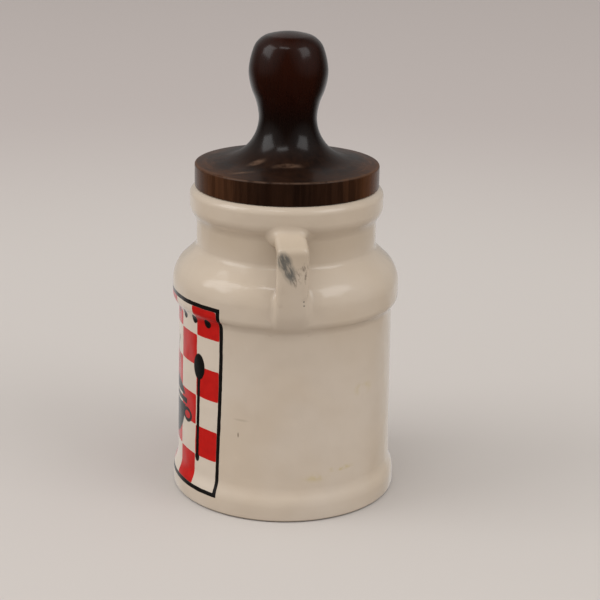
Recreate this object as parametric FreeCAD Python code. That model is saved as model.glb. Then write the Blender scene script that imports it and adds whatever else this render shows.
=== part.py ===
"""Lidded condiment crock: a glazed jar with two loop ears and a turned wooden lid.

Millimetres, +Z up.  The origin is the centre of the foot, on the standing surface.
The printed front of the jar faces -Y, and the ears stand on +X and -X.
"""
import FreeCAD, Part
import math
import os

from FreeCAD import Vector

# ---------------------------------------------------------------- jar, from the foot up
WALL_RADIUS = 45.6            # at the bottom of the wall
WALL_HEIGHT = 67.0            # from the foot ring's step to the crease under the shoulder
WALL_TAPER = 0.9              # how much narrower the wall is at the crease

FOOT_STEP = 2.0               # how far the foot ring stands out past the wall
FOOT_EDGE = 1.2               # rounding where the foot meets the table
FOOT_BAND_HEIGHT = 6.0        # straight part of the foot ring, with its edge
FOOT_STEP_HEIGHT = 8.4        # reverse curve from the foot ring to the wall

BAND_STEP = 2.6               # how far the shoulder band stands out past the top of the wall
COVE_HEIGHT = 5.8             # rounded underside of the band
BAND_HEIGHT = 5.5
SHOULDER_EDGE_RADIUS = 7.0    # rounding from the band to the sloped shoulder
SHOULDER_SLOPE = 45.0         # degrees from vertical

NECK_INSET = 10.0             # how far the neck stands in from the shoulder band
NECK_FILLET = 3.0
NECK_HEIGHT = 12.6            # from where the slope would meet the neck to the collar's step

COLLAR_STEP = 2.75            # how far the collar stands out past the neck
COLLAR_STEP_HEIGHT = 5.0      # reverse curve from the neck to the collar
COLLAR_BAND_HEIGHT = 4.0
LIP_HEIGHT = 3.3              # rounded top of the collar
LIP_INSET = 2.65              # from the collar's side to the level face that carries the lid

# ---------------------------------------------------------------- ears
EAR_WIDTH = 12.7
EAR_THICKNESS = 4.8
EAR_REACH = 3.2               # how far the knuckle stands out past the shoulder band
EAR_ROOT_DROP = 1.1           # top of the arm's root, below the top of the collar's step
ARM_SLOPE = 23.0              # degrees that the arm falls on its way out
LEG_TAPER = 1.0               # how much closer to the axis the leg is at its foot
LEG_FOOT_RISE = 1.6           # end of the leg above the crease
LEG_FOOT_HEIGHT = 7.0         # rounded end of the leg
LEG_FOOT_DEPTH = 2.6          # how far that end turns in
KNUCKLE_RADIUS = 2.6
CROTCH_RADIUS = 1.6           # inside corner of the loop
EAR_EDGE = 1.7                # rounding of the ear's long edges
EAR_SKEW = 8.0                # degrees that each ear is set askew, seen from above
EAR_DIRECTIONS = (0.0, 180.0)

# ---------------------------------------------------------------- lid
LID_OVERHANG = 0.6            # how far the disc's side stands out past the face that carries it
LID_EDGE_HEIGHT = 9.65        # rim of the disc, underside to top edge
LID_UNDER_EDGE = 0.6
LID_TOP_EDGE = 0.9
LID_TOP_SLOPE = 7.6           # degrees that the top of the disc rises towards the stem
STEM_RADIUS = 11.9
STEM_FLARE_RADIUS = 17.4      # concave sweep from the disc up into the stem
KNOB_RADIUS = 16.15
KNOB_SWELL_HEIGHT = 18.6      # from the narrowest of the stem to the widest of the knob
KNOB_SIDE_HEIGHT = 10.5       # from the widest of the knob to its shoulder
KNOB_SIDE_RADIUS = 24.4
KNOB_SHOULDER_RADIUS = 8.1
KNOB_SHOULDER_TURN = 46.0     # degrees that the shoulder of the knob turns

# ---------------------------------------------------------------- sizes that follow
WALL_TOP_RADIUS = WALL_RADIUS - WALL_TAPER
BAND_RADIUS = WALL_TOP_RADIUS + BAND_STEP
NECK_RADIUS = BAND_RADIUS - NECK_INSET
COLLAR_RADIUS = NECK_RADIUS + COLLAR_STEP
SEAT_RADIUS = COLLAR_RADIUS - LIP_INSET
LID_RADIUS = SEAT_RADIUS + LID_OVERHANG

STEP_TOP = FOOT_BAND_HEIGHT + FOOT_STEP_HEIGHT
CREASE = STEP_TOP + WALL_HEIGHT
BAND_BOTTOM = CREASE + COVE_HEIGHT
BAND_TOP = BAND_BOTTOM + BAND_HEIGHT
SLOPE = math.radians(SHOULDER_SLOPE)
SLOPE_FOOT_RADIUS = BAND_RADIUS - SHOULDER_EDGE_RADIUS * (1.0 - math.cos(SLOPE))
SLOPE_FOOT = BAND_TOP + SHOULDER_EDGE_RADIUS * math.sin(SLOPE)
NECK_CORNER = SLOPE_FOOT + (SLOPE_FOOT_RADIUS - NECK_RADIUS) / math.tan(SLOPE)
NECK_TOP = NECK_CORNER + NECK_HEIGHT
COLLAR_BOTTOM = NECK_TOP + COLLAR_STEP_HEIGHT
COLLAR_TOP = COLLAR_BOTTOM + COLLAR_BAND_HEIGHT
SEAT = COLLAR_TOP + LIP_HEIGHT

QUARTER_TURN = 90.0
HALF_TURN = 180.0
FULL_TURN = 360.0
ORIGIN = Vector(0, 0, 0)
UP = Vector(0, 0, 1)


class Outline:
    """A turned outline of (radius, height) points, drawn from the axis outwards.

    It keeps its last point and its heading: degrees from straight out, counter-clockwise.
    """

    def __init__(self, height):
        self.bottom = height
        self.point = (0.0, height)
        self.heading = 0.0
        self.edges = []

    def _vector(self, point):
        # Drawn behind the axis, so that the seam of the turned faces is at the back.
        return Vector(0.0, point[0], point[1])

    def line_to(self, radius, height):
        self.heading = math.degrees(math.atan2(height - self.point[1], radius - self.point[0]))
        line = Part.LineSegment(self._vector(self.point), self._vector((radius, height)))
        self.edges.append(line.toShape())
        self.point = (radius, height)

    def arc_to(self, radius, height):
        """Arc that leaves along the present heading and ends at the given point."""
        start_radius, start_height = self.point
        out, up = radius - start_radius, height - start_height
        direction = math.degrees(math.atan2(up, out))
        half_turn = (direction - self.heading + HALF_TURN) % FULL_TURN - HALF_TURN
        bulge = 0.5 * math.hypot(out, up) * math.tan(math.radians(half_turn) / 2.0)
        across = math.radians(direction - QUARTER_TURN)
        middle = (start_radius + 0.5 * out + bulge * math.cos(across),
                  start_height + 0.5 * up + bulge * math.sin(across))
        arc = Part.Arc(self._vector(self.point), self._vector(middle),
                       self._vector((radius, height)))
        self.edges.append(arc.toShape())
        self.point = (radius, height)
        self.heading += 2.0 * half_turn

    def turn(self, arc_radius, degrees):
        """Arc of a given radius; a positive turn goes to the left."""
        side = math.copysign(QUARTER_TURN, degrees)
        start = math.radians(self.heading - side)
        end = start + math.radians(degrees)
        self.arc_to(self.point[0] + arc_radius * (math.cos(end) - math.cos(start)),
                    self.point[1] + arc_radius * (math.sin(end) - math.sin(start)))

    def reverse_curve_to(self, radius, height):
        """Two equal arcs that leave and arrive in the same direction."""
        self.arc_to(0.5 * (self.point[0] + radius), 0.5 * (self.point[1] + height))
        self.arc_to(radius, height)

    def revolve(self):
        """Close the outline along the axis and turn it."""
        if self.point[0] > 0.0:
            self.line_to(0.0, self.point[1])
        self.line_to(0.0, self.bottom)
        return Part.Face(Part.Wire(self.edges)).revolve(ORIGIN, UP, FULL_TURN)


def rounded_wire(corners, y):
    """Closed wire in the plane at y, through corners given as (x, z, corner radius)."""
    points = [Vector(x, y, z) for x, z, _ in corners]
    pieces = []
    for i, (_, _, radius) in enumerate(corners):
        here = points[i]
        back = (points[i - 1] - here).normalize()
        ahead = (points[(i + 1) % len(points)] - here).normalize()
        half = 0.5 * back.getAngle(ahead)
        cut = radius / math.tan(half)
        middle = here + (back + ahead).normalize() * (radius / math.sin(half) - radius)
        pieces.append((here + back * cut, middle, here + ahead * cut))
    edges = []
    for i, (start, middle, end) in enumerate(pieces):
        edges.append(Part.LineSegment(pieces[i - 1][2], start).toShape())
        if corners[i][2] > 0.0:
            edges.append(Part.Arc(start, middle, end).toShape())
    return Part.Wire(edges)


def jar_body():
    """Foot, wall, shoulder band, neck and collar, shut by the lid and so solid."""
    outline = Outline(0.0)
    outline.line_to(WALL_RADIUS + FOOT_STEP - FOOT_EDGE, 0.0)
    outline.turn(FOOT_EDGE, QUARTER_TURN)
    outline.line_to(WALL_RADIUS + FOOT_STEP, FOOT_BAND_HEIGHT)
    outline.reverse_curve_to(WALL_RADIUS, STEP_TOP)
    outline.arc_to(WALL_TOP_RADIUS, CREASE)
    # The underside of the band ends upright, so it leaves the crease at twice its chord's lean.
    lean = math.degrees(math.atan2(BAND_STEP, COVE_HEIGHT))
    outline.heading = QUARTER_TURN - 2.0 * lean
    outline.arc_to(BAND_RADIUS, BAND_BOTTOM)
    outline.line_to(BAND_RADIUS, BAND_TOP)
    outline.turn(SHOULDER_EDGE_RADIUS, SHOULDER_SLOPE)
    set_back = NECK_FILLET * math.tan(SLOPE / 2.0)
    outline.line_to(NECK_RADIUS + set_back * math.sin(SLOPE),
                    NECK_CORNER - set_back * math.cos(SLOPE))
    outline.turn(NECK_FILLET, -SHOULDER_SLOPE)
    outline.line_to(NECK_RADIUS, NECK_TOP)
    outline.reverse_curve_to(COLLAR_RADIUS, COLLAR_BOTTOM)
    outline.line_to(COLLAR_RADIUS, COLLAR_TOP)
    outline.arc_to(SEAT_RADIUS, SEAT)
    return outline.revolve()


def ear():
    """One ear towards +X: a flat bar bent into an arm from the neck and a leg to the band."""
    fall = math.tan(math.radians(ARM_SLOPE))
    arm_depth = EAR_THICKNESS / math.cos(math.radians(ARM_SLOPE))
    knuckle = BAND_RADIUS + EAR_REACH
    crotch = knuckle - EAR_THICKNESS
    root = NECK_RADIUS - EAR_THICKNESS
    neck_top = COLLAR_BOTTOM - EAR_ROOT_DROP
    root_top = neck_top + (NECK_RADIUS - root) * fall
    knuckle_top = neck_top - (knuckle - NECK_RADIUS) * fall
    crotch_top = knuckle_top + (knuckle - crotch) * fall - arm_depth
    leg_end = CREASE + LEG_FOOT_RISE
    leg_foot = leg_end + LEG_FOOT_HEIGHT
    leg_outer = knuckle - LEG_TAPER
    leg_inner = crotch - LEG_TAPER
    leg_root = crotch - EAR_THICKNESS
    wire = rounded_wire([
        (root, root_top, 0.0),
        (knuckle, knuckle_top, KNUCKLE_RADIUS),
        (leg_outer, leg_foot, LEG_FOOT_HEIGHT),
        (leg_outer - LEG_FOOT_DEPTH, leg_end, 0.0),
        (leg_root, leg_end, 0.0),
        (leg_root, leg_foot, 0.0),
        (leg_inner, leg_foot, 0.0),
        (crotch, crotch_top, CROTCH_RADIUS),
        (root, root_top - arm_depth, 0.0),
    ], -0.5 * EAR_WIDTH)
    bar = Part.Face(wire).extrude(Vector(0, EAR_WIDTH, 0))
    in_side_face = [edge for edge in bar.Edges if edge.BoundBox.YLength < 0.5 * EAR_WIDTH]
    outside_neck = [edge for edge in in_side_face if edge.BoundBox.XMax > NECK_RADIUS]
    bar = bar.makeFillet(EAR_EDGE, outside_neck)
    bar.rotate(Vector(crotch, 0, 0), UP, EAR_SKEW)
    return bar


def jar():
    """The whole ceramic piece: the turned body with an ear joined to each side."""
    solid = jar_body()
    for direction in EAR_DIRECTIONS:
        side_ear = ear()
        side_ear.rotate(ORIGIN, UP, direction)
        solid = solid.fuse(side_ear)
    return solid


def lid():
    """Disc, flare, stem and knob, turned from one block; its underside rests on the collar."""
    slope = math.radians(LID_TOP_SLOPE)
    outline = Outline(SEAT)
    outline.line_to(LID_RADIUS - LID_UNDER_EDGE, SEAT)
    outline.turn(LID_UNDER_EDGE, QUARTER_TURN)
    outline.line_to(LID_RADIUS, SEAT + LID_EDGE_HEIGHT - LID_TOP_EDGE)
    outline.turn(LID_TOP_EDGE, QUARTER_TURN - LID_TOP_SLOPE)
    flare_foot = STEM_RADIUS + STEM_FLARE_RADIUS * (1.0 - math.sin(slope))
    rise = (outline.point[0] - flare_foot) * math.tan(slope)
    outline.line_to(flare_foot, outline.point[1] + rise)
    outline.turn(STEM_FLARE_RADIUS, LID_TOP_SLOPE - QUARTER_TURN)
    outline.reverse_curve_to(KNOB_RADIUS, outline.point[1] + KNOB_SWELL_HEIGHT)
    outline.turn(KNOB_SIDE_RADIUS, math.degrees(math.asin(KNOB_SIDE_HEIGHT / KNOB_SIDE_RADIUS)))
    outline.turn(KNOB_SHOULDER_RADIUS, KNOB_SHOULDER_TURN)
    # The crown leaves the shoulder in line with it and is level on the axis.
    lean = math.radians(HALF_TURN - outline.heading)
    outline.arc_to(0.0, outline.point[1] + outline.point[0] * math.tan(lean / 2.0))
    return outline.revolve()


def main():
    os.makedirs("parts", exist_ok=True)
    for name, shape in (("jar", jar()), ("lid", lid())):
        print("%s: %d solid, valid %s, %.1f cm3" % (name, len(shape.Solids), shape.isValid(),
                                                   shape.Volume / 1000.0))
        shape.Solids[0].exportStep("parts/%s.step" % name)


main()
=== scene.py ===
# %% [markdown]
# # A lidded condiment crock
#
# The real object is a slip-cast jar under a cream glaze, with two strap ears, a printed and
# fired label on one side, and a turned, stained and varnished wooden lid.  This lesson builds
# both pieces with bmesh operators, then makes the glaze, the print and the wood from nodes.
# The packed CAD model is loaded first.  It fixes where everything is, so nothing here has to
# be fitted by eye.

# %% Load the frame
import math

import bmesh
import bpy
from mathutils import Matrix, Vector
from mathutils.bvhtree import BVHTree


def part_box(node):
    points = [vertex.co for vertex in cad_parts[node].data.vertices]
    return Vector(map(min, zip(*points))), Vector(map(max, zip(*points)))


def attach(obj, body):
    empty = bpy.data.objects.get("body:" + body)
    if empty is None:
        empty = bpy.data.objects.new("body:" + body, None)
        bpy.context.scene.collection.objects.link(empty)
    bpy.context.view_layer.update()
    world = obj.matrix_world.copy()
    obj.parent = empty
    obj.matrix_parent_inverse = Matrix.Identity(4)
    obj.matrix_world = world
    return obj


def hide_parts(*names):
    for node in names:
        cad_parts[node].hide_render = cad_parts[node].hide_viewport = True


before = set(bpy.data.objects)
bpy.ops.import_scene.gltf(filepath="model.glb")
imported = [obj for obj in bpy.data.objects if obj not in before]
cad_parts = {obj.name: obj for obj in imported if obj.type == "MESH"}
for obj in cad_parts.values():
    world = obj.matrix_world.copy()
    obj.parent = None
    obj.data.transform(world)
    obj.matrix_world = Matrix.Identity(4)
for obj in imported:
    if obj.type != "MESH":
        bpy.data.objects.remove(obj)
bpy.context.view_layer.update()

MM = 0.001

# %% [markdown]
# ## Levels that come from the CAD model
#
# The jar ends where the lid sits, and the foot is the widest turned part.  Reading these from
# the frame keeps the finer shapes inside the CAD model's box.  Everything else is a step up
# or in from them, so a changed jar would carry its details along.

# %% Read the levels
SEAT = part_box("jar")[1][2]
FOOT_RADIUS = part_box("jar")[1][1]
LID_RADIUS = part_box("lid")[1][1]
LID_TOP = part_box("lid")[1][2]

WALL_RADIUS = FOOT_RADIUS - 2.0 * MM
CREASE_RADIUS = WALL_RADIUS - 0.9 * MM
BAND_RADIUS = CREASE_RADIUS + 2.6 * MM
NECK_RADIUS = BAND_RADIUS - 10.0 * MM
COLLAR_RADIUS = NECK_RADIUS + 2.75 * MM
SEAT_RADIUS = COLLAR_RADIUS - 2.65 * MM

STEP_BOTTOM = 6.0 * MM
STEP_TOP = STEP_BOTTOM + 8.4 * MM
CREASE = STEP_TOP + 67.0 * MM
BAND_BOTTOM = CREASE + 5.8 * MM
BAND_TOP = BAND_BOTTOM + 5.5 * MM
COLLAR_TOP = SEAT - 3.3 * MM
COLLAR_BOTTOM = COLLAR_TOP - 4.0 * MM
NECK_TOP = COLLAR_BOTTOM - 7.6 * MM
NECK_CORNER = NECK_TOP - 10.0 * MM
print("seat %.1f mm, crease %.1f mm, neck corner %.1f mm"
      % (SEAT / MM, CREASE / MM, NECK_CORNER / MM))

# %% [markdown]
# ## How a turned profile is drawn
#
# A potter's template and a woodturner's gauge are both an outline with rounded corners.  It
# could be drawn point by point, but a few corners are easier to read and to change: a vertex
# bevel rounds each of them, and one spin turns the outline.  A vertex bevel takes the
# distance from the corner to the start of the curve, which is called the reach below.

# %% Corners and their reach
def upright_reach(run, rise):
    """Reach of a curve that is upright at one end and goes this far out and up."""
    return (run * run + rise * rise) / (2.0 * rise)


def arc_reach(radius, turn):
    """Reach of an arc of this radius that turns by this angle."""
    return radius * math.tan(turn / 2.0)


def reverse_corners(start, end):
    """The two corners of an S-curve between two (radius, height) points, upright at both."""
    run, rise = abs(end[0] - start[0]) / 2.0, (end[1] - start[1]) / 2.0
    reach = upright_reach(run, rise)
    return [(start[0], start[1] + reach, reach), (end[0], end[1] - reach, reach)]


print("a curve 2 mm out and 8 mm up has a reach of %.2f mm" % upright_reach(2.0, 8.0))

# %% [markdown]
# The corners become a chain of edges, a bevel rounds each with as many steps as its turn
# needs, and the chain is spun.  A screw modifier would turn it too, but the spin operator
# leaves plain mesh for the next steps.

# %% Round an outline and turn it
SAME_SPOT = 0.005 * MM


def rounded_profile(corners, smoothness):
    """A chain of edges in the YZ plane through (radius, height, reach) corners."""
    bm = bmesh.new()
    points = [Vector((0.0, radius, height)) for radius, height, _ in corners]
    verts = [bm.verts.new(point) for point in points]
    for first, second in zip(verts, verts[1:]):
        bm.edges.new((first, second))
    for i, (_, _, reach) in enumerate(corners):
        if reach > 0.0:
            turn = (points[i + 1] - points[i]).angle(points[i] - points[i - 1])
            steps = max(2, round(math.degrees(turn) / smoothness))
            bmesh.ops.bevel(bm, geom=[verts[i]], offset=reach, offset_type="OFFSET",
                            segments=steps, profile=0.5, affect="VERTICES", material=-1)
    bmesh.ops.remove_doubles(bm, verts=bm.verts[:], dist=SAME_SPOT)
    return bm


def turn_profile(bm, steps):
    """Spins the profile once round the upright axis and closes it on the axis."""
    print("outline points:", len(bm.verts))
    bmesh.ops.spin(bm, geom=bm.verts[:] + bm.edges[:], cent=(0, 0, 0), axis=(0, 0, 1),
                   angle=math.tau, steps=steps, use_merge=True)
    bmesh.ops.remove_doubles(bm, verts=bm.verts[:], dist=SAME_SPOT)
    bmesh.ops.recalc_face_normals(bm, faces=bm.faces[:])
    return bm


print("points closer than %.3f mm are merged" % (SAME_SPOT / MM))

# %% [markdown]
# ## From a bmesh to a finished piece
#
# A finished piece keeps its object at the origin and its place in its mesh, as the CAD nodes
# do.  It rides on the one body, and stands for its CAD node, which is hidden.

# %% Helper for finished pieces
def finished_piece(name, bm, node):
    """Turns a bmesh into the object that stands for one CAD node, and frees the bmesh."""
    mesh = bpy.data.meshes.new(name)
    bm.to_mesh(mesh)
    bm.free()
    mesh.shade_smooth()
    piece = bpy.data.objects.new(name, mesh)
    bpy.context.scene.collection.objects.link(piece)
    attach(piece, "root")
    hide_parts(node)
    print(name, "faces:", len(mesh.polygons))
    return piece


print("pieces to finish:", ", ".join(sorted(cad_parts)))

# %% [markdown]
# ## The jar's body
#
# The body stands on a foot ring, steps in to a nearly straight wall, swells into a shoulder
# band, and slopes to the neck and its collar.  Cylinders and tori could be joined up, but the
# joins would show in a glossy surface.  One outline has none, and the bevels give its few
# corners many points.  Glaze fills the crease under the band, so that corner is rounded too.

# %% Turn the body
SLOPE = math.radians(45.0)
SHOULDER_CORNER = BAND_TOP + 3.7 * MM
shoulder_reach = arc_reach(13.0 * MM, SLOPE)
neck_reach = arc_reach(3.4 * MM, SLOPE)
cove_reach = upright_reach(BAND_RADIUS - CREASE_RADIUS, BAND_BOTTOM - CREASE)
lip_reach = upright_reach(COLLAR_RADIUS - SEAT_RADIUS, SEAT - COLLAR_TOP)
foot_reach, crease_reach, band_reach = 1.2 * MM, 2.0 * MM, 1.8 * MM

body_corners = [(0.0, 0.0, 0.0), (FOOT_RADIUS, 0.0, foot_reach)]
body_corners += reverse_corners((FOOT_RADIUS, STEP_BOTTOM), (WALL_RADIUS, STEP_TOP))
body_corners += [
    (CREASE_RADIUS, CREASE, crease_reach),
    (BAND_RADIUS, BAND_BOTTOM - cove_reach, band_reach),
    (BAND_RADIUS, SHOULDER_CORNER, shoulder_reach),
    (NECK_RADIUS, NECK_CORNER, neck_reach),
]
body_corners += reverse_corners((NECK_RADIUS, NECK_TOP), (COLLAR_RADIUS, COLLAR_BOTTOM))
body_corners += [(COLLAR_RADIUS, COLLAR_TOP + lip_reach, lip_reach),
                 (SEAT_RADIUS, SEAT, 0.0), (0.0, SEAT, 0.0)]

body = turn_profile(rounded_profile(body_corners, smoothness=5.0), steps=192)
body_tree = BVHTree.FromBMesh(body)
print("body faces:", len(body.faces))

# %% [markdown]
# ## The ears
#
# Each ear is a flat strap of clay, stuck on while soft, with an arm from the neck and a leg
# down the band.  A curve with a flat bevel would give the bend, but not the crisp knuckle,
# so the strap's side view is drawn as a few corners, some of them rounded.

# %% Draw the strap from the side
EAR_WIDTH = 12.7 * MM
EAR_THICKNESS = 4.8 * MM
EAR_SKEW = math.radians(6.0)
KNUCKLE = BAND_RADIUS + 3.2 * MM
ARM_FALL = math.tan(math.radians(23.0))
ARM_ROOT = COLLAR_BOTTOM - 1.1 * MM
LEG_END = CREASE + 0.8 * MM
LEG_FOOT = LEG_END + 7.0 * MM
LEG_LEAN, TOE_TUCK = 1.0 * MM, 3.6 * MM
EAR_ROUNDING_STEPS = 5


def ear_corners():
    """Side view of the strap as (x, z, reach) corners, from the arm's root to the leg."""
    arm_depth = EAR_THICKNESS / math.cos(math.atan(ARM_FALL))
    crotch = KNUCKLE - EAR_THICKNESS
    root = NECK_RADIUS - EAR_THICKNESS
    root_top = ARM_ROOT + (NECK_RADIUS - root) * ARM_FALL
    knuckle_top = ARM_ROOT - (KNUCKLE - NECK_RADIUS) * ARM_FALL
    crotch_top = knuckle_top + (KNUCKLE - crotch) * ARM_FALL - arm_depth
    return [
        (root, root_top, 0.0), (KNUCKLE, knuckle_top, 2.0 * MM),
        (KNUCKLE - LEG_LEAN, LEG_FOOT, 1.3 * MM), (KNUCKLE - TOE_TUCK, LEG_END, 0.0),
        (crotch - EAR_THICKNESS, LEG_END, 0.0), (crotch - EAR_THICKNESS, LEG_FOOT, 0.0),
        (crotch - LEG_LEAN, LEG_FOOT, 0.0), (crotch, crotch_top, 1.06 * MM),
        (root, root_top - arm_depth, 0.0),
    ]


print("ear: knuckle at %.1f mm, leg ends %.1f mm up" % (KNUCKLE / MM, LEG_END / MM))

# %% [markdown]
# The side view is filled, extruded to the strap's width, and its long edges are bevelled, as
# a wet finger rounds them.  Then it is turned a little, because ears set by hand sit askew.

# %% Bend one strap
def round_corners(bm, verts, corners):
    """Bevels each corner of the side view by its reach."""
    for vert, (_, _, reach) in zip(verts, corners):
        if reach > 0.0:
            bmesh.ops.bevel(bm, geom=[vert], offset=reach, offset_type="OFFSET",
                            segments=EAR_ROUNDING_STEPS, profile=0.5, affect="VERTICES",
                            material=-1)


def bent_strap():
    """One ear's strap, closed, with rounded long edges."""
    bm = bmesh.new()
    corners = ear_corners()
    verts = [bm.verts.new((x, -EAR_WIDTH / 2.0, z)) for x, z, _ in corners]
    bm.faces.new(verts)
    round_corners(bm, verts, corners)
    side = bmesh.ops.extrude_face_region(bm, geom=bm.faces[:])["geom"]
    moved = [item for item in side if isinstance(item, bmesh.types.BMVert)]
    bmesh.ops.translate(bm, verts=moved, vec=(0.0, EAR_WIDTH, 0.0))
    long_edges = [edge for edge in bm.edges
                  if abs(edge.verts[0].co.y - edge.verts[1].co.y) < 0.1 * MM
                  and max(vert.co.x for vert in edge.verts) > NECK_RADIUS]
    bmesh.ops.bevel(bm, geom=long_edges, offset=2.1 * MM, offset_type="OFFSET",
                    segments=EAR_ROUNDING_STEPS, profile=0.5, affect="EDGES", material=-1)
    bmesh.ops.rotate(bm, verts=bm.verts[:], cent=(KNUCKLE - EAR_THICKNESS, 0.0, 0.0),
                     matrix=Matrix.Rotation(EAR_SKEW, 3, "Z"))
    bmesh.ops.recalc_face_normals(bm, faces=bm.faces[:])
    return bm


strap = bent_strap()
strap_tree = BVHTree.FromBMesh(strap)
print("strap faces:", len(strap.faces))

# %% [markdown]
# ## Glaze that runs into the corners
#
# On the real jar there is no sharp line where an ear meets the body: glaze filled the joint,
# and a little clay was pressed out beside the arm's root.  A bevel can't follow such a joint
# well, so the strap, a pad for the pressed clay and a patch of the wall are merged by a voxel
# remesh.  The patch is a copy of the body's own faces with a thickness, so it fits exactly.

# %% Merge the strap with a patch of the wall
PATCH_HALF_WIDTH, PATCH_THICKNESS = 15.0 * MM, 2.5 * MM
PATCH_BOTTOM, PATCH_TOP = CREASE - 6.0 * MM, COLLAR_TOP
PAD_CENTRE = Vector((NECK_RADIUS - 0.2 * MM, -2.9 * MM, COLLAR_BOTTOM - 5.4 * MM))
PAD_HALF_SIZE = Vector((3.9 * MM, 6.0 * MM, 4.6 * MM))
VOXEL = 0.45 * MM


def wall_patch():
    """A thickened copy of the wall round the ear."""
    def inside(face):
        centre = face.calc_center_median()
        near = centre.x > 0.0 and abs(centre.y) < PATCH_HALF_WIDTH
        return near and PATCH_BOTTOM < centre.z < PATCH_TOP

    bm = body.copy()
    bmesh.ops.delete(bm, geom=[face for face in bm.faces if not inside(face)],
                     context="FACES")
    bmesh.ops.solidify(bm, geom=bm.faces[:], thickness=PATCH_THICKNESS)
    return bm


def add_copy(bm, other):
    """Adds another bmesh's shape to this one, frees the other, returns the new vertices."""
    before = len(bm.verts)
    carrier = bpy.data.meshes.new("carrier")
    other.to_mesh(carrier)
    other.free()
    bm.from_mesh(carrier)
    bpy.data.meshes.remove(carrier)
    bm.verts.ensure_lookup_table()
    return bm.verts[before:]


def merged_by_voxels(bm, voxel):
    """Joins overlapping closed shapes into one even skin."""
    mesh = bpy.data.meshes.new("merging")
    bm.to_mesh(mesh)
    bm.free()
    holder = bpy.data.objects.new("merging", mesh)
    bpy.context.scene.collection.objects.link(holder)
    remesh = holder.modifiers.new("skin", "REMESH")
    remesh.mode = "VOXEL"
    remesh.voxel_size = voxel
    depsgraph = bpy.context.evaluated_depsgraph_get()
    merged = bmesh.new()
    merged.from_mesh(holder.evaluated_get(depsgraph).to_mesh())
    bpy.data.objects.remove(holder)
    bpy.data.meshes.remove(mesh)
    return merged


ear = wall_patch()
pad_place = Matrix.LocRotScale(PAD_CENTRE, None, PAD_HALF_SIZE)
bmesh.ops.create_icosphere(ear, subdivisions=3, radius=1.0, matrix=pad_place)
add_copy(ear, strap)
ear = merged_by_voxels(ear, VOXEL)
print("ear and patch faces:", len(ear.faces))

# %% [markdown]
# The strap widens where it was pressed on: down the leg, and at the arm's root, a little
# more on one side.  Scaling the ends would also thicken them, so each vertex is moved
# sideways instead, by an amount that fades out up the leg and away from the wall.

# %% Widen the strap at its roots
FLARE_WIDTH = 1.1 * MM
LEG_FLARE = (BAND_BOTTOM - 3.0 * MM, BAND_TOP + 9.0 * MM)
ROOT_FLARE_LEFT, ROOT_FLARE_RIGHT = 0.6, 0.9


def eased(value, low, high):
    """0 below low, 1 above high, and a smooth step between."""
    t = min(1.0, max(0.0, (value - low) / (high - low)))
    return t * t * (3.0 - 2.0 * t)


def above_wall(point):
    """Distance outwards from the turned wall, the spot under the point, and its normal."""
    spot, normal, _, distance = body_tree.find_nearest(point)
    return math.copysign(distance, (point - spot).dot(normal)), spot, normal


def flare(bm):
    """Widens the strap towards both of its roots, and returns the largest shift."""
    largest = 0.0
    for vert in bm.verts:
        height, _, _ = above_wall(vert.co)
        if height > 0.15 * MM:
            low = 1.0 - eased(vert.co.z, *LEG_FLARE)
            root = ROOT_FLARE_LEFT if vert.co.y < 0.0 else ROOT_FLARE_RIGHT
            root *= 1.0 - eased(height, 0.5 * MM, 3.0 * MM)
            root *= eased(vert.co.z, NECK_CORNER, NECK_CORNER + 4.0 * MM)
            shift = FLARE_WIDTH * (low + root) * eased(height, 0.15 * MM, 0.6 * MM)
            shift *= eased(abs(vert.co.y), 0.0, 4.0 * MM)
            vert.co.y += math.copysign(shift, vert.co.y)
            largest = max(largest, shift)
    return largest


print("strap widened by up to %.2f mm" % (flare(ear) / MM))

# %% [markdown]
# Now the joint alone is smoothed, which melts a fillet into it.  Away from the joint the
# patch goes back onto the turned wall and dips a little under it, so that the two skins part
# where they are nearly parallel and no line shows.

# %% Smooth and seat the joint
JOINT_SIZE = 3.4 * MM
JOINT_ROUNDS = 70


def smooth_joint(bm, rounds, size):
    """Smooths the vertices that are near both the strap and the wall."""
    joint = [vert for vert in bm.verts
             if strap_tree.find_nearest(vert.co)[3] < size
             and abs(above_wall(vert.co)[0]) < size]
    for _ in range(rounds):
        bmesh.ops.smooth_vert(bm, verts=joint, factor=0.5, use_axis_x=True, use_axis_y=True,
                              use_axis_z=True)
    return len(joint)


def seat_patch(bm):
    """Puts the patch back on the wall away from the joint, and sinks its rim slightly."""
    seated = 0
    for vert in bm.verts:
        height, spot, normal = above_wall(vert.co)
        away = strap_tree.find_nearest(vert.co)[3]
        if abs(height) < 0.5 * MM and away > 2.0 * MM:
            level = (0.015 - 0.2 * eased(away, 3.0 * MM, 8.0 * MM)) * MM
            hold = eased(away, 2.0 * MM, 3.5 * MM)
            vert.co = vert.co.lerp(spot + normal * level, hold)
            seated += 1
    return seated


print("joint vertices:", smooth_joint(ear, JOINT_ROUNDS, JOINT_SIZE))
print("seated vertices:", seat_patch(ear))

# %% [markdown]
# ## One ceramic piece
#
# The second ear is the first one turned by half a turn, as both come from one mould.  A
# second object would do, but a copy inside the bmesh makes the jar one piece, as it is in
# clay.

# %% Join body and ears
far_ear = ear.copy()
bmesh.ops.rotate(far_ear, verts=far_ear.verts[:], cent=(0, 0, 0),
                 matrix=Matrix.Rotation(math.radians(180.0), 3, "Z"))
for one_ear in (ear, far_ear):
    print("ear vertices added:", len(add_copy(body, one_ear)))
jar = finished_piece("glazed_jar", body, "jar")

# %% [markdown]
# ## A pen for the lid
#
# The lid is one block of hardwood turned on a lathe: a thick disc, a hollow sweep up to a
# narrow stem, and a knob.  Its curves flow into each other.  Each corner could be worked out
# by hand, but a pen that goes forward and turns keeps every curve in line with the last.

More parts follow.
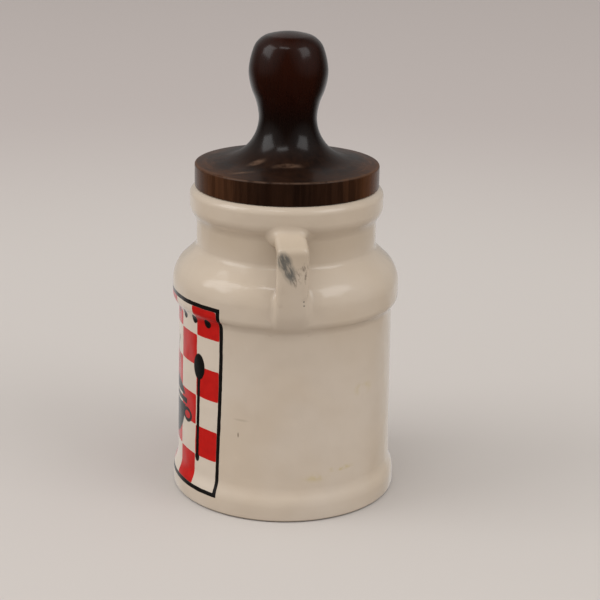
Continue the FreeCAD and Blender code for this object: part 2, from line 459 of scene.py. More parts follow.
# %% A pen for flowing curves
class Pen:
    """Goes forward and turns, and notes a corner with its reach for each curve."""

    def __init__(self, radius, height, heading):
        self.spot = Vector((radius, height))
        self.heading = math.radians(heading)
        self.corners = [(radius, height, 0.0)]

    def forward(self, length):
        self.spot += length * Vector((math.cos(self.heading), math.sin(self.heading)))

    def curve(self, radius, degrees):
        reach = arc_reach(radius, math.radians(abs(degrees)))
        self.forward(reach)
        self.corners.append((self.spot.x, self.spot.y, reach))
        self.heading += math.radians(degrees)
        self.forward(reach)

    def corner(self, radius, height):
        self.spot = Vector((radius, height))
        self.corners.append((radius, height, 0.0))


trial = Pen(0.0, 0.0, 0.0)
trial.curve(1.0, 90.0)
print("a quarter turn of radius 1 ends at (%.2f, %.2f)" % tuple(trial.spot))

# %% [markdown]
# ## The lid
#
# The pen goes up the disc's side, in along its top, round the hollow sweep, out over the
# swell of the knob and round to the axis, where it arrives level.  The disc's two edges are
# small curves as well, because sandpaper leaves none of them sharp.

# %% Turn the lid
TOP_SLOPE = 7.6
EDGE_TOP = SEAT + 9.65 * MM
LOWER_EDGE, UPPER_EDGE = 0.6 * MM, 0.9 * MM
FLARE_RADIUS = 17.4 * MM
STEM_RADIUS = 11.9 * MM
KNOB_RADIUS = 16.15 * MM
SWELL_HEIGHT = 18.6 * MM
SIDE_RADIUS, SIDE_HEIGHT = 24.4 * MM, 10.5 * MM
SHOULDER_RADIUS, SHOULDER_TURN = 8.1 * MM, 46.0


def draw_disc(pen):
    """The disc's side, and its top as far as the hollow sweep."""
    slope = math.radians(TOP_SLOPE)
    pen.spot.x = LID_RADIUS - LOWER_EDGE
    pen.curve(LOWER_EDGE, 90.0)
    pen.spot.y = EDGE_TOP - UPPER_EDGE
    pen.curve(UPPER_EDGE, 90.0 - TOP_SLOPE)
    flare_foot = STEM_RADIUS + FLARE_RADIUS * (1.0 - math.sin(slope))
    pen.heading = math.pi - slope
    pen.forward((pen.spot.x - flare_foot) / math.cos(slope))


def draw_knob(pen):
    """The sweep up to the stem, the swell of the knob, and its top."""
    pen.curve(FLARE_RADIUS, TOP_SLOPE - 90.0)
    half_swell = (KNOB_RADIUS - STEM_RADIUS) / 2.0, SWELL_HEIGHT / 2.0
    lean = 2.0 * math.degrees(math.atan2(*half_swell))
    swell_radius = math.hypot(*half_swell) / (2.0 * math.sin(math.radians(lean) / 2.0))
    pen.curve(swell_radius, -lean)
    pen.curve(swell_radius, lean)
    pen.curve(SIDE_RADIUS, math.degrees(math.asin(SIDE_HEIGHT / SIDE_RADIUS)))
    pen.curve(SHOULDER_RADIUS, SHOULDER_TURN)
    last_turn = math.pi - pen.heading
    pen.curve(pen.spot.x / math.sin(last_turn), math.degrees(last_turn))
    pen.corner(0.0, LID_TOP)


pen = Pen(0.0, SEAT, 0.0)
draw_disc(pen)
draw_knob(pen)
lid_shape = turn_profile(rounded_profile(pen.corners, smoothness=4.0), steps=160)
lid = finished_piece("turned_lid", lid_shape, "lid")
print("lid top %.2f mm, CAD %.2f mm"
      % (max(v.co.z for v in lid.data.vertices) / MM, LID_TOP / MM))

# %% [markdown]
# ## Building materials from nodes
#
# A finish can be drawn in the shader editor, but a script has to say it in lines.  It reads
# best when each node is one short call, so the board below adds a node, fills its sockets and
# hands back what it puts out.  Masks are numbers from 0 to 1, and the board has a name for
# each way of joining them.

# %% A board that nodes are put on
class Board:
    """Adds nodes to one node tree; a socket among the values is linked, a number is set."""

    def __init__(self, tree):
        self.tree, self.nodes, self.links = tree, tree.nodes, tree.links

    def fill(self, node, sockets):
        for key, value in sockets.items():
            if isinstance(value, bpy.types.NodeSocket):
                self.links.new(value, node.inputs[key])
            else:
                node.inputs[key].default_value = value
        return node

    def put(self, kind, sockets, **settings):
        node = self.nodes.new("ShaderNode" + kind)
        for name, value in settings.items():
            setattr(node, name, value)
        return self.fill(node, sockets)

    def group(self, tree, sockets):
        node = self.nodes.new("ShaderNodeGroup")
        node.node_tree = tree
        return self.fill(node, sockets).outputs

    def math(self, operation, *values, clamp=False):
        return self.put("Math", dict(enumerate(values)), operation=operation,
                        use_clamp=clamp).outputs[0]

    def chain(self, operation, values):
        result = values[0]
        for value in values[1:]:
            result = self.math(operation, result, value)
        return result

    def plus(self, *values):
        return self.chain("ADD", values)

    def times(self, *values):
        return self.chain("MULTIPLY", values)

    def largest(self, *values):
        return self.chain("MAXIMUM", values)

    def scaled(self, value, factor, offset):
        return self.math("MULTIPLY_ADD", value, factor, offset)

    def without(self, mask, other):
        """What is left of a mask outside another one."""
        return self.math("SUBTRACT", mask, other, clamp=True)

    def off(self, value, level):
        """How far a value is from a level, on either side."""
        return self.math("ABSOLUTE", self.math("SUBTRACT", value, level))

    def below(self, value, limit, sharpness):
        """1 where the value is below the limit, with a thin soft edge."""
        return self.math("MULTIPLY", self.math("SUBTRACT", limit, value), sharpness,
                         clamp=True)

    def above(self, value, limit, sharpness):
        """1 where the value is above the limit, with a thin soft edge."""
        return self.math("MULTIPLY", self.math("SUBTRACT", value, limit), sharpness,
                         clamp=True)

    def ramp(self, value, low, high, bottom=0.0, top=1.0):
        """A smooth step of the value, from bottom at low to top at high."""
        return self.put("MapRange", {"Value": value, "From Min": low, "From Max": high,
                                     "To Min": bottom, "To Max": top},
                        interpolation_type="SMOOTHSTEP").outputs[0]

    def vector(self, operation, *values, output=0):
        return self.put("VectorMath", dict(enumerate(values)),
                        operation=operation).outputs[output]

    def point(self, x, y):
        return self.put("CombineXYZ", {"X": x, "Y": y}).outputs[0]

    def axes(self, vector):
        return self.put("SeparateXYZ", {0: vector}).outputs

    def noise(self, vector, scale, detail=2.0, roughness=0.5):
        return self.put("TexNoise", {"Vector": vector, "Scale": scale, "Detail": detail,
                                     "Roughness": roughness}).outputs[0]

    def colour(self, mask, first, second):
        """The first colour where the mask is 0 and the second where it is 1."""
        return self.put("Mix", {0: mask, 6: first, 7: second}, data_type="RGBA").outputs[2]

    def either_value(self, switch, first, second):
        """The first number where the switch is 0 and the second where it is 1."""
        return self.put("Mix", {0: switch, 2: first, 3: second},
                        data_type="FLOAT").outputs[0]

    def bump(self, height):
        """The normal of a surface with this height, in millimetres, on it."""
        return self.put("Bump", {"Height": height, "Distance": MM,
                                 "Strength": 1.0}).outputs[0]


print("board:", ", ".join(name for name in vars(Board) if not name.startswith("_")))

# %% [markdown]
# Looks that are used many times over are node groups: one node with a few named sockets.

# %% Groups of nodes
def new_group(name, takes, gives):
    """A node group with named sockets; returns its board and what it takes in."""
    tree = bpy.data.node_groups.new(name, "ShaderNodeTree")
    for direction, sockets in (("INPUT", takes), ("OUTPUT", gives)):
        for socket, kind in sockets.items():
            tree.interface.new_socket(socket, in_out=direction,
                                      socket_type="NodeSocket" + kind)
    return Board(tree), tree.nodes.new("NodeGroupInput").outputs


def close_group(board, gives):
    """Links what the group gives, and returns the finished group."""
    board.fill(board.nodes.new("NodeGroupOutput"), gives)
    print("group", board.tree.name, "nodes:", len(board.nodes))
    return board.tree


print("node groups so far:", len(bpy.data.node_groups))

# %% [markdown]
# ## Marks that both finishes share
#
# Stains on the glaze, scuffs on an ear, worn varnish and most of the label's motifs are all
# soft-edged spots on the piece.  Scratches and wood grain are both a noise stretched one way.
# Each is built once as a group, and every use gives it its own place and size.

# %% Spot group
board, take = new_group("spot", {"Position": "Vector", "Centre": "Vector",
                                 "Half Size": "Vector", "Softness": "Float"},
                        {"Mask": "Float"})
from_centre = board.vector("SUBTRACT", take["Position"], take["Centre"])
in_half_sizes = board.vector("DIVIDE", from_centre, take["Half Size"])
distance = board.vector("LENGTH", in_half_sizes, output="Value")
spot_group = close_group(board, {"Mask": board.ramp(
    distance, board.math("SUBTRACT", 1.0, take["Softness"]),
    board.math("ADD", 1.0, take["Softness"]), 1.0, 0.0)})
ANY = 1000.0


def spot(board, position, centre, half_size, softness=0.3):
    """A spot given in millimetres; a half size of ANY leaves that direction out."""
    return board.group(spot_group, {
        "Position": position, "Centre": [c * MM for c in centre],
        "Half Size": [h * MM for h in half_size], "Softness": softness})["Mask"]


# %% [markdown]
# A streak's noise is squeezed by the stretch, so a small number along one axis makes long
# streaks that way.  Low and high say how much of the noise becomes a mark.

# %% Streak group
board, take = new_group("streaks", {"Position": "Vector", "Stretch": "Vector",
                                    "Scale": "Float", "Low": "Float", "High": "Float"},
                        {"Mask": "Float"})
stretched = board.vector("MULTIPLY", take["Position"], take["Stretch"])
grain = board.noise(stretched, take["Scale"], detail=5.0, roughness=0.6)
streak_group = close_group(board, {"Mask": board.ramp(grain, take["Low"], take["High"])})


def streaks(board, position, stretch, scale, low, high):
    """Long marks; the scale is in features per metre."""
    return board.group(streak_group, {"Position": position, "Stretch": stretch,
                                      "Scale": scale, "Low": low, "High": high})["Mask"]


# %% [markdown]
# ## The printed label
#
# The label is a ceramic transfer in black and red, fired onto the glaze: a checked cloth in
# a black frame with black kitchen motifs on it.  It could be an image on a UV map, but worked
# out from the angle about the axis and the height it stays sharp at any size.  A slight noise
# in the position keeps its edges uneven, and the sheet closes in a little towards the foot.

# %% Unroll the label
LABEL_ROW, LABEL_BOTTOM = 13.15 * MM, 8.15 * MM
LABEL_COLUMN = math.radians(17.1)
LABEL_FRAME = 1.8 * MM
LABEL_HALF = 3.0
PRINT_RADIUS = 45.2 * MM
UNEVENNESS = 0.4 * MM
FOOT_CLOSING = 1.045

board, take = new_group("label_print", {"Position": "Vector"},
                        {"Sheet": "Float", "Red": "Float", "Black": "Float"})
uneven = board.put("TexNoise", {"Vector": take["Position"], "Scale": 260.0,
                                "Detail": 2.0}).outputs["Color"]
uneven = board.vector("SUBTRACT", uneven, (0.5, 0.5, 0.5))
uneven = board.vector("MULTIPLY", uneven, (UNEVENNESS, UNEVENNESS, UNEVENNESS))
place = board.axes(board.vector("ADD", take["Position"], uneven))
angle = board.math("ARCTAN2", place["X"], board.times(place["Y"], -1.0))
angle = board.times(angle, board.ramp(place["Z"], 0.0, 70.0 * MM, FOOT_CLOSING, 1.0))
along = board.times(angle, PRINT_RADIUS)
flat = board.point(along, place["Z"])
mirrored = board.point(board.math("ABSOLUTE", along), place["Z"])
print("label: rows of %.2f mm, columns of %.2f mm"
      % (LABEL_ROW / MM, LABEL_COLUMN * PRINT_RADIUS / MM))

# %% [markdown]
# The product of two sines changes sign from square to square.  A checker texture would do
# the same with hard edges; here a factor sets their softness.  The frame is the sheet without
# the cloth.

# %% Cloth and frame
CLOTH_EDGE, CHECK_EDGE = 120.0, 160.0
column = board.math("DIVIDE", angle, LABEL_COLUMN)
row = board.math("DIVIDE", board.math("SUBTRACT", place["Z"], LABEL_BOTTOM), LABEL_ROW)


def label_area(margin):
    """The cloth, widened all round by a margin."""
    columns = LABEL_HALF + margin / (LABEL_COLUMN * PRINT_RADIUS)
    rows = LABEL_HALF + margin / LABEL_ROW
    return board.times(
        board.below(board.math("ABSOLUTE", column), columns, CLOTH_EDGE),
        board.below(board.off(row, LABEL_HALF), rows, CLOTH_EDGE))


cloth, sheet = label_area(0.0), label_area(LABEL_FRAME)
border = board.without(sheet, cloth)
checks = board.times(board.math("SINE", board.times(column, math.pi)),
                     board.math("SINE", board.times(row, math.pi)))
red = board.times(board.below(checks, 0.0, CHECK_EDGE), cloth)
print("cloth: %d by %d checks" % (2 * LABEL_HALF, 2 * LABEL_HALF))

# %% [markdown]
# The motifs are plain kitchen things: a lidded pot with steam in the middle, a wooden spoon
# on either side, and a row of peppercorns along the top.  Each is a few spots and blocks laid
# on the unrolled label, as simple as a cut stencil.

# %% A lidded pot with steam
SHARP = 9000.0


def mark(where, centre, half_size, softness):
    """A spot on the unrolled label, in millimetres along and up."""
    return spot(board, where, (*centre, 0.0), (*half_size, ANY), softness)


def block(centre, half_size):
    """An upright rectangle, mirrored on the label's other half, in millimetres."""
    across = board.off(board.math("ABSOLUTE", along), centre[0] * MM)
    up = board.off(place["Z"], centre[1] * MM)
    return board.times(board.below(across, half_size[0] * MM, SHARP),
                       board.below(up, half_size[1] * MM, SHARP))


bowl = board.times(mark(flat, (0.0, 42.0), (17.5, 19.0), 0.03),
                   board.below(place["Z"], 40.0 * MM, SHARP))
rim = block((0.0, 42.0), (19.0, 1.2))
cover = board.times(mark(flat, (0.0, 43.8), (16.5, 6.5), 0.04),
                    board.above(place["Z"], 44.1 * MM, SHARP))
knob = mark(flat, (0.0, 51.6), (2.4, 1.8), 0.1)
handle = board.without(mark(mirrored, (19.6, 36.5), (4.2, 3.2), 0.08),
                       mark(mirrored, (19.6, 36.5), (2.6, 1.7), 0.12))
gleam = board.times(mark(flat, (-10.5, 36.0), (2.0, 6.0), 0.15),
                    board.above(along, -12.2 * MM, SHARP))
pot = board.without(board.largest(bowl, rim, cover, knob, handle), gleam)

swing = board.times(board.math("SINE", board.times(place["Z"], 720.0)), 1.2 * MM)
wisp = board.math("WRAP", board.plus(along, swing), -3.5 * MM, 3.5 * MM)
steam = board.times(board.below(board.math("ABSOLUTE", wisp), 0.55 * MM, 6000.0),
                    block((0.0, 62.0), (9.5, 6.5)))
print("pot and steam, nodes so far:", len(board.nodes))

# %% [markdown]
# Folding the label about its middle gives both spoons from one, and wrapping it every few
# millimetres gives the whole row of peppercorns from one.

# %% Spoons and peppercorns
PEPPERCORN_HALF_STEP, PEPPERCORNS_END = 4.25 * MM, 38.0 * MM
spoon = board.largest(mark(mirrored, (28.6, 60.5), (3.7, 5.6), 0.05),
                      block((28.6, 38.0), (1.05, 18.0)),
                      mark(mirrored, (28.6, 20.5), (1.5, 2.0), 0.1))
wrapped = board.point(board.math("WRAP", along, -PEPPERCORN_HALF_STEP, PEPPERCORN_HALF_STEP),
                      place["Z"])
peppercorns = board.times(
    mark(wrapped, (0.0, 80.3), (1.9, 1.9), 0.08),
    board.below(board.math("ABSOLUTE", along), PEPPERCORNS_END, 3000.0))
black = board.largest(border, pot, steam, spoon, peppercorns)
label_group = close_group(board, {"Sheet": sheet, "Red": red, "Black": black})

# %% [markdown]
# ## The glazed ceramic
#
# The cream glaze is glossy and nearly even, but one flat colour would look like plastic.  The
# cream drifts a little in warmth.  It is also painted deeper up the wall towards the crease
# and in the hollow of the neck under the collar: painted shade, where less light falls.

# %% Cream of the glaze
CREAM = (0.60, 0.52, 0.435, 1.0)
WARM_CREAM = (0.575, 0.482, 0.382, 1.0)
SHADED_CREAM = (0.50, 0.41, 0.31, 1.0)
WALL_PAINTED_SHADE, NECK_PAINTED_SHADE = 0.36, 0.75


def new_material(name):
    """A material with its board and its shader."""
    material = bpy.data.materials.new(name)
    material.use_nodes = True
    return (material, Board(material.node_tree),
            material.node_tree.nodes["Principled BSDF"])


def set_on(shader, **values):
    """Numbers that are the same all over go on the shader's own sockets."""
    for name, value in values.items():
        shader.inputs[name.replace("_", " ")].default_value = value


glaze, board, shader = new_material("cream_glaze")
position = board.put("TexCoord", {}).outputs["Object"]
height_up = board.axes(position)["Z"]
drift = board.ramp(board.noise(position, 22.0, detail=3.0), 0.35, 0.68)
# Painted shade: the cream is darkened up the wall and in the hollow of the neck.
wall_shade = board.ramp(height_up, 45.0 * MM, 85.0 * MM, 0.0, WALL_PAINTED_SHADE)
neck_shade = board.times(
    board.ramp(board.off(height_up, NECK_CORNER + 9.0 * MM), 0.0, 15.0 * MM, 1.0, 0.0),
    NECK_PAINTED_SHADE)
colour = board.colour(drift, CREAM, WARM_CREAM)
colour = board.colour(board.largest(wall_shade, neck_shade), colour, SHADED_CREAM)
print("cream, nodes so far:", len(board.nodes))

# %% [markdown]
# The print comes next, over the cream.  The fired enamel isn't equally dense everywhere, so
# a noise mixes its red with a darker red.  The inks are mixed in as they were printed: white
# ground, red, black.

# %% Print on the glaze
LABEL_WHITE = (0.625, 0.542, 0.452, 1.0)
LABEL_RED = (0.52, 0.012, 0.009, 1.0)
LABEL_DENSE_RED = (0.45, 0.010, 0.008, 1.0)
LABEL_BLACK = (0.008, 0.007, 0.006, 1.0)

label = board.group(label_group, {"Position": position})
density = board.ramp(board.noise(position, 300.0, detail=4.0), 0.3, 0.75)
for ink, ink_colour in (("Sheet", LABEL_WHITE),
                        ("Red", board.colour(density, LABEL_RED, LABEL_DENSE_RED)),
                        ("Black", LABEL_BLACK)):
    colour = board.colour(label[ink], colour, ink_colour)
print("inks:", ", ".join(socket.name for socket in label))

# %% [markdown]
# Wear goes on last: faint tea-coloured stains low on the wall, and two small flecks fired
# into it.  A thin dark ring where the foot meets the table is partly grime and partly painted
# contact shadow.  Painting them would need an image; soft spots broken up by a noise look as
# accidental.

# %% Stains, flecks, and grime with painted contact shadow
STAIN = (0.52, 0.42, 0.20, 1.0)
GRIME_AND_SHADE_BROWN = (0.13, 0.095, 0.065, 1.0)


def marks(board, position, *rows):
    """The strongest of several spots, each a centre, a half size, a softness and a weight."""
    return board.largest(*[
        board.times(spot(board, position, centre, half_size, softness), weight)
        for centre, half_size, softness, weight in rows])


stains = marks(board, position,
               ((40.5, 21.0, 21.0), (20.0, 5.2, 1.1), 0.5, 1.0),
               ((44.0, 11.0, 18.8), (20.0, 5.0, 1.8), 0.6, 0.5),
               ((33.0, 30.6, 53.3), (8.0, 3.2, 2.6), 0.6, 0.45))
blotches = board.ramp(board.noise(position, 160.0, detail=4.0), 0.40, 0.60)
flecks = marks(board, position,
               ((40.4, -20.5, 36.0), (4.0, 0.28, 1.0), 0.4, 1.0),
               ((40.7, -19.4, 42.6), (4.0, 2.6, 0.45), 0.6, 0.25))
# The foot ring is partly grime and partly painted contact shadow.
foot_grime_and_shade = board.times(board.ramp(height_up, 0.2 * MM, 1.0 * MM, 1.0, 0.0), 0.85)

colour = board.colour(board.times(stains, blotches, 0.9), colour, STAIN)
colour = board.colour(board.times(flecks, 0.7), colour, GRIME_AND_SHADE_BROWN)
colour = board.colour(foot_grime_and_shade, colour, GRIME_AND_SHADE_BROWN)
print("wear, nodes so far:", len(board.nodes))

# %% [markdown]
# The ear that knocks against taps and shelves carries rub marks from metal: a dark grey patch
# under the knuckle, brown scratches below and beside it, and two chips like pin-pricks.  The
# streaks are turned to the slant of the rub before they fill the spots.

# %% Rub marks on the ear
SCUFF = (0.085, 0.088, 0.080, 1.0)
BROWN_SCUFF = (0.20, 0.155, 0.115, 1.0)
SLANT = Matrix.Rotation(math.radians(-20.0), 3, "X")

slanted = board.put("Mapping", {"Vector": position, "Rotation": SLANT.to_euler()}).outputs[0]
dark_rub = marks(board, slanted,
                 (SLANT @ Vector((50.5, -3.1, 111.6)), (4.0, 2.6, 4.1), 0.4, 1.0),
                 (SLANT @ Vector((50.2, -1.3, 107.8)), (4.0, 2.1, 4.2), 0.55, 1.0))
scratches = streaks(board, slanted, (1.0, 1.0, 0.24), 1150.0, 0.32, 0.58)
dark_rub = board.times(dark_rub, board.scaled(scratches, 0.6, 0.42))
brown_rub = marks(board, position,
                  ((50.0, 1.2, 105.0), (4.0, 2.0, 3.2), 0.6, 1.0),
                  ((49.9, 4.2, 109.4), (4.0, 1.9, 1.5), 0.5, 1.0),
                  ((49.4, 5.3, 105.6), (4.0, 0.6, 2.4), 0.5, 1.0))
brown_rub = board.times(brown_rub,
                        streaks(board, slanted, (1.0, 1.0, 0.5), 1100.0, 0.48, 0.60))
chips = marks(board, position,
              ((49.1, 4.7, 95.4), (3.0, 0.32, 0.32), 0.4, 1.0),
              ((49.0, 4.8, 93.7), (3.0, 0.32, 0.32), 0.4, 1.0))

colour = board.colour(board.times(brown_rub, 0.8), colour, BROWN_SCUFF)
colour = board.colour(board.times(board.largest(dark_rub, chips), 0.85), colour, SCUFF)
print("rub marks, nodes so far:", len(board.nodes))

# %% [markdown]
# The glaze is smooth to the touch but not optically flat: slow waves, and shallower dimples
# between them, bend the reflections.  Real displacement would need far more faces, so noises
# of three sizes feed one bump.  The marks and the black enamel are duller than the glaze.

# %% Gloss and surface of the glaze
WAVES = ((70.0, 0.9), (190.0, 0.11), (420.0, 0.006))

marked = board.largest(board.times(foot_grime_and_shade, 0.5),
                       board.times(board.largest(dark_rub, brown_rub, chips), 0.6))
rough = board.plus(board.ramp(board.noise(position, 60.0), 0.3, 0.7, 0.14, 0.20),
                   board.times(marked, 0.6), board.times(label["Black"], 0.06))
height = board.plus(*[board.times(board.noise(position, scale, detail=1.0), depth)
                      for scale, depth in WAVES])
board.fill(shader, {"Base Color": colour, "Roughness": rough, "Normal": board.bump(height)})
set_on(shader, IOR=1.5, Specular_IOR_Level=0.5)
jar.data.materials.append(glaze)
print("glaze nodes:", len(glaze.node_tree.nodes))

# %% [markdown]
# ## The stained and varnished wood
#
# The lid is a close-grained hardwood stained dark, nearly black in the shade and red-brown
# where light gets into the knob, under a glossy varnish.  The grain runs up the turning, so
# fibres and figure are streaks that are long in that direction.

# %% Stain of the knob
DARK_STAIN = (0.0065, 0.0028, 0.0018, 1.0)
RED_STAIN = (0.020, 0.0042, 0.0016, 1.0)
KNOB_ZONE = (156.0 * MM, 172.0 * MM)

wood, board, shader = new_material("stained_varnished_wood")
position = board.put("TexCoord", {}).outputs["Object"]
axes = board.axes(position)
radius = board.vector("LENGTH", board.point(axes["X"], axes["Y"]), output="Value")
fibres = streaks(board, position, (1.0, 1.0, 0.06), 420.0, 0.40, 0.68)
figure = streaks(board, position, (1.0, 1.0, 0.25), 60.0, 0.36, 0.62)
redness = board.times(board.scaled(figure, 0.85, 0.15), board.ramp(axes["Z"], *KNOB_ZONE))
colour = board.colour(redness, DARK_STAIN, RED_STAIN)
print("knob, nodes so far:", len(board.nodes))

# %% [markdown]
# Handling has thinned the disc's stain near its rim, where orange-brown wood comes through:
# in fibres down the side and in turned lines round the top.  That wear colour is painted
# strongest on the left and right, where the side lamps light the disc, so it is partly
# painted light.
# The turned lines are streaks too, but laid out by radius and angle.

# %% Stain of the disc, with painted side light
DISC_DARK = (0.009, 0.0038, 0.0022, 1.0)
DISC_BROWN = (0.020, 0.0080, 0.0040, 1.0)
ORANGE_BROWN = (0.090, 0.035, 0.014, 1.0)
FIBRE_BROWN = (0.036, 0.0150, 0.0075, 1.0)

disc_zone = board.math("SUBTRACT", 1.0,
                       board.ramp(axes["Z"], EDGE_TOP, EDGE_TOP + 12.0 * MM))
rim_wear = board.ramp(board.plus(radius, board.times(figure, 6.0 * MM)),
                      26.0 * MM, 40.0 * MM)
# Painted light: the worn colour is made strongest on the left and right, where the side lamps
# fall.
painted_side_light = board.ramp(board.math("ABSOLUTE", axes["Y"]), 10.0 * MM, 34.0 * MM, 0.0, 0.85)
turning = board.point(radius, board.times(board.math("ARCTAN2", axes["Y"], axes["X"]),
                                          3.0 * MM))
turned_lines = streaks(board, turning, (1.0, 1.0, 1.0), 520.0, 0.42, 0.62)
broken = board.scaled(board.largest(fibres, turned_lines), 0.75, 0.4)

disc_colour = board.colour(figure, DISC_DARK, DISC_BROWN)
disc_colour = board.colour(board.times(rim_wear, painted_side_light, broken), disc_colour, ORANGE_BROWN)
colour = board.colour(disc_zone, colour, disc_colour)
fibre_weight = board.times(fibres, board.ramp(disc_zone, 0.0, 1.0, 0.05, 0.3))
colour = board.colour(fibre_weight, colour, FIBRE_BROWN)
print("disc, nodes so far:", len(board.nodes))

# %% [markdown]
# The upper edge of the disc is rubbed to a light line, and a few patches at the front of its
# top are worn to bare brown.  The line is found from the radius and the height, so no mask
# has to be painted on the mesh, and a noise breaks it up.

# %% Wear on the wood
BARE_BROWN = (0.17, 0.10, 0.065, 1.0)
EDGE_WEAR, WEAR_COVER = 0.55, 0.65

edge_gap = board.plus(board.off(radius, LID_RADIUS - 0.35 * MM),
                      board.off(axes["Z"], EDGE_TOP - 0.25 * MM))
edge_line = board.times(board.ramp(edge_gap, 0.2 * MM, 1.0 * MM, 1.0, 0.0),
                        streaks(board, position, (1.0, 1.0, 0.3), 160.0, 0.36, 0.58))
patches = marks(board, position,
                ((16.7, -13.4, 143.3), (1.2, 3.0, 3.0), 0.8, 1.0),
                ((21.6, -1.0, 143.2), (1.0, 4.6, 3.0), 0.8, 1.0),
                ((24.0, -19.0, 141.2), (1.2, 4.5, 3.0), 0.6, 1.0))
patches = board.times(patches,
                      streaks(board, position, (1.0, 0.4, 1.0), 420.0, 0.30, 0.66))
wear = board.largest(board.times(edge_line, EDGE_WEAR), patches)
colour = board.colour(board.times(wear, WEAR_COVER), colour, BARE_BROWN)
print("wear, nodes so far:", len(board.nodes))

# %% [markdown]
# The varnish is the shader's clear coat: thick and glossy on the knob, thin on the handled
# disc, whose top is duller still.  The wood under it has hardly any shine of its own, and the
# fibres sink in by a few thousandths of a millimetre.

# %% Varnish
FIBRE_DEPTH, TOOL_WAVES = -0.008, 0.05

disc_top = board.times(disc_zone, board.ramp(axes["Z"], EDGE_TOP - 1.2 * MM,
                                             EDGE_TOP + 0.2 * MM))
rough = board.plus(board.ramp(disc_top, 0.0, 1.0, 0.26, 0.42), board.times(wear, 0.25),
                   board.times(fibres, 0.05))
coat = board.ramp(disc_zone, 0.0, 1.0, 0.62, 0.24)
height = board.plus(board.times(fibres, FIBRE_DEPTH),
                    board.times(board.noise(position, 60.0), TOOL_WAVES))
board.fill(shader, {"Base Color": colour, "Roughness": rough, "Coat Weight": coat,
                    "Normal": board.bump(height)})
set_on(shader, Specular_IOR_Level=0.06, Coat_Roughness=0.17, Coat_IOR=1.42)
lid.data.materials.append(wood)
print("wood nodes:", len(wood.node_tree.nodes))

# %% [markdown]
# ## The table
#
# The crock stands on a plain pale sweep that fills the view behind it.  Its colour is painted
# a little darker with distance, a painted shade for the light falling off.  A pale world
# could stand behind it instead, but a floor keeps the shadow.
# The table is hidden from reflections, because it would lay a veil over the dark wood and
# enamel; the world takes its place there.

# %% Table
TABLE_HALF_SIZE = 6.0
TABLE_NEAR = (0.574, 0.536, 0.505, 1.0)
TABLE_FAR_SHADED = (0.500, 0.450, 0.428, 1.0)

table_mesh = bpy.data.meshes.new("table")
table_bm = bmesh.new()
bmesh.ops.create_grid(table_bm, x_segments=1, y_segments=1, size=TABLE_HALF_SIZE)
table_bm.to_mesh(table_mesh)
table_bm.free()
table = bpy.data.objects.new("table", table_mesh)
bpy.context.scene.collection.objects.link(table)
table.visible_glossy = False

table_material, board, shader = new_material("pale_table")
position = board.put("TexCoord", {}).outputs["Object"]
# Painted shade: the table's colour darkens away from the crock.
away = board.ramp(board.vector("LENGTH", position, output="Value"), 0.30, 0.92)
board.fill(shader, {"Base Color": board.colour(away, TABLE_NEAR, TABLE_FAR_SHADED)})
set_on(shader, Roughness=0.8)
table.data.materials.append(table_material)
print("table: %.0f m across" % (2.0 * TABLE_HALF_SIZE))

# %% [markdown]
# ## The world
#
# An even light with two wide glows high on the left and right gives the crock its soft
# shading; an image of a room would do the same, but nobody could read it.  Reflections see
# the glows much weaker, so that the gloss stays clear, and behind the crock they see a pale
# backdrop that is paler below, where it stands in for the table.

# %% World
CAMERA_TURN = math.radians(87.0)
GLOW_EDGE, GLOW_CORE = math.cos(math.radians(58.0)), math.cos(math.radians(14.0))
EVEN_LIGHT = 0.335
GLOSSY_SHARE, GLOSSY_FLOOR = 0.36, 0.012
BACKDROP_LOW, BACKDROP_HIGH = 0.60, 0.32


def studio_way(turn, height):
    """Unit vector from the crock; turn is degrees to the right of the camera."""
    side, level = CAMERA_TURN + math.radians(turn), math.radians(height)
    return Vector((math.sin(side) * math.cos(level), -math.cos(side) * math.cos(level),
                   math.sin(level)))


def glow(turn, height, strength):
    """A soft patch of light on the world round one direction."""
    towards = board.vector("DOT_PRODUCT", way, studio_way(turn, height), output="Value")
    return board.ramp(towards, GLOW_EDGE, GLOW_CORE, 0.0, strength)


world = bpy.data.worlds.new("studio")
bpy.context.scene.world = world
world.use_nodes = True
board = Board(world.node_tree)
way = board.put("TexCoord", {}).outputs["Generated"]
ways = board.axes(way)
glows = board.plus(glow(-74.0, 40.0, 0.86), glow(64.0, 40.0, 0.76))
backdrop = board.times(board.ramp(ways["X"], -0.90, -0.30, 1.0, 0.0),
                       board.ramp(ways["Z"], -0.28, -0.05, BACKDROP_LOW, BACKDROP_HIGH))
reflected = board.put("LightPath", {}).outputs["Is Glossy Ray"]
strength = board.either_value(reflected, board.plus(glows, EVEN_LIGHT),
                              board.scaled(glows, GLOSSY_SHARE, GLOSSY_FLOOR))
background = world.node_tree.nodes["Background"]
background.inputs["Color"].default_value = (1.0, 0.975, 0.955, 1.0)
board.fill(background, {"Strength": board.plus(strength, backdrop)})
print("world nodes:", len(world.node_tree.nodes))

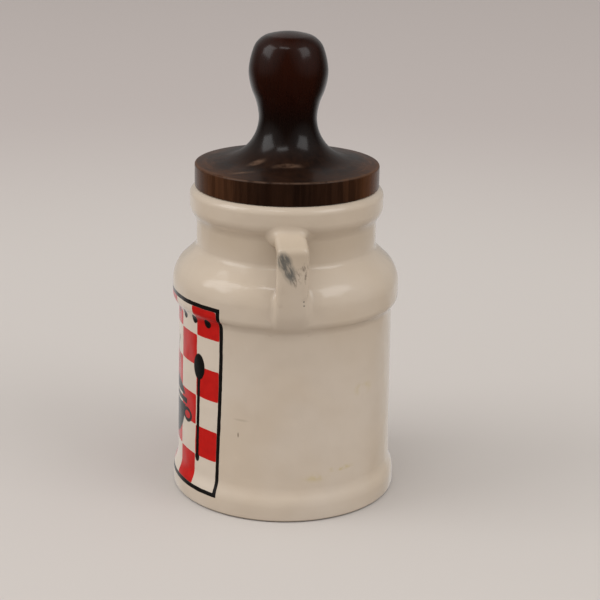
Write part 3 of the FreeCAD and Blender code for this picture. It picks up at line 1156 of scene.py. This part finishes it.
# %% [markdown]
# ## The lamps
#
# Two soft boxes high on the left and right make the pairs of bright reflections on the knob
# and the shoulder, and a strip overhead makes the small one between them.  Point lamps would
# give hard dots instead; area lamps have the shape that shows in the glaze.

# %% Lamps
LAMP_DISTANCE = 2.4
LAMP_AIM = Vector((0.0, 0.0, 0.11))


def soft_lamp(name, turn, height, size, power):
    """A rectangular lamp aimed at the crock."""
    lamp = bpy.data.lights.new(name, "AREA")
    lamp.shape = "RECTANGLE"
    lamp.size, lamp.size_y = size
    lamp.energy = power
    obj = bpy.data.objects.new(name, lamp)
    bpy.context.scene.collection.objects.link(obj)
    way_out = studio_way(turn, height)
    obj.location = LAMP_AIM + LAMP_DISTANCE * way_out
    obj.rotation_euler = (-way_out).to_track_quat("-Z", "Y").to_euler()
    print(name, "%.1f W, %.2f by %.2f m" % (power, *size))


soft_lamp("left_softbox", -78.0, 37.0, (1.35, 1.4), 14.2)
soft_lamp("right_softbox", 60.0, 39.0, (1.2, 1.25), 10.0)
soft_lamp("overhead_strip", -22.0, 60.0, (1.0, 0.35), 3.6)

# %% [markdown]
# ## The camera
#
# The camera looks from the ear's side, a little from above, with a long lens that keeps the
# walls nearly parallel.  A constraint could aim it, but a turn about the crock, a step back
# and up, and three small turns of the camera itself need no target.

# %% Camera
CAMERA_BACK, CAMERA_UP = 0.6045, 0.2735
CAMERA_TILT, CAMERA_PAN = math.radians(17.694), math.radians(-0.59)
CAMERA_ROLL = math.radians(1.0)

camera_data = bpy.data.cameras.new("camera")
camera_data.sensor_width = 36.0
camera_data.lens = 90.0
camera = bpy.data.objects.new("camera", camera_data)
bpy.context.scene.collection.objects.link(camera)
bpy.context.scene.camera = camera
camera.matrix_world = (Matrix.Rotation(CAMERA_TURN, 4, "Z")
                       @ Matrix.Translation((0.0, -CAMERA_BACK, CAMERA_UP))
                       @ Matrix.Rotation(CAMERA_PAN, 4, "Z")
                       @ Matrix.Rotation(math.radians(90.0) - CAMERA_TILT, 4, "X")
                       @ Matrix.Rotation(CAMERA_ROLL, 4, "Z"))
bpy.context.scene.view_settings.view_transform = "Standard"
print("camera at", [round(value, 4) for value in camera.matrix_world.translation])
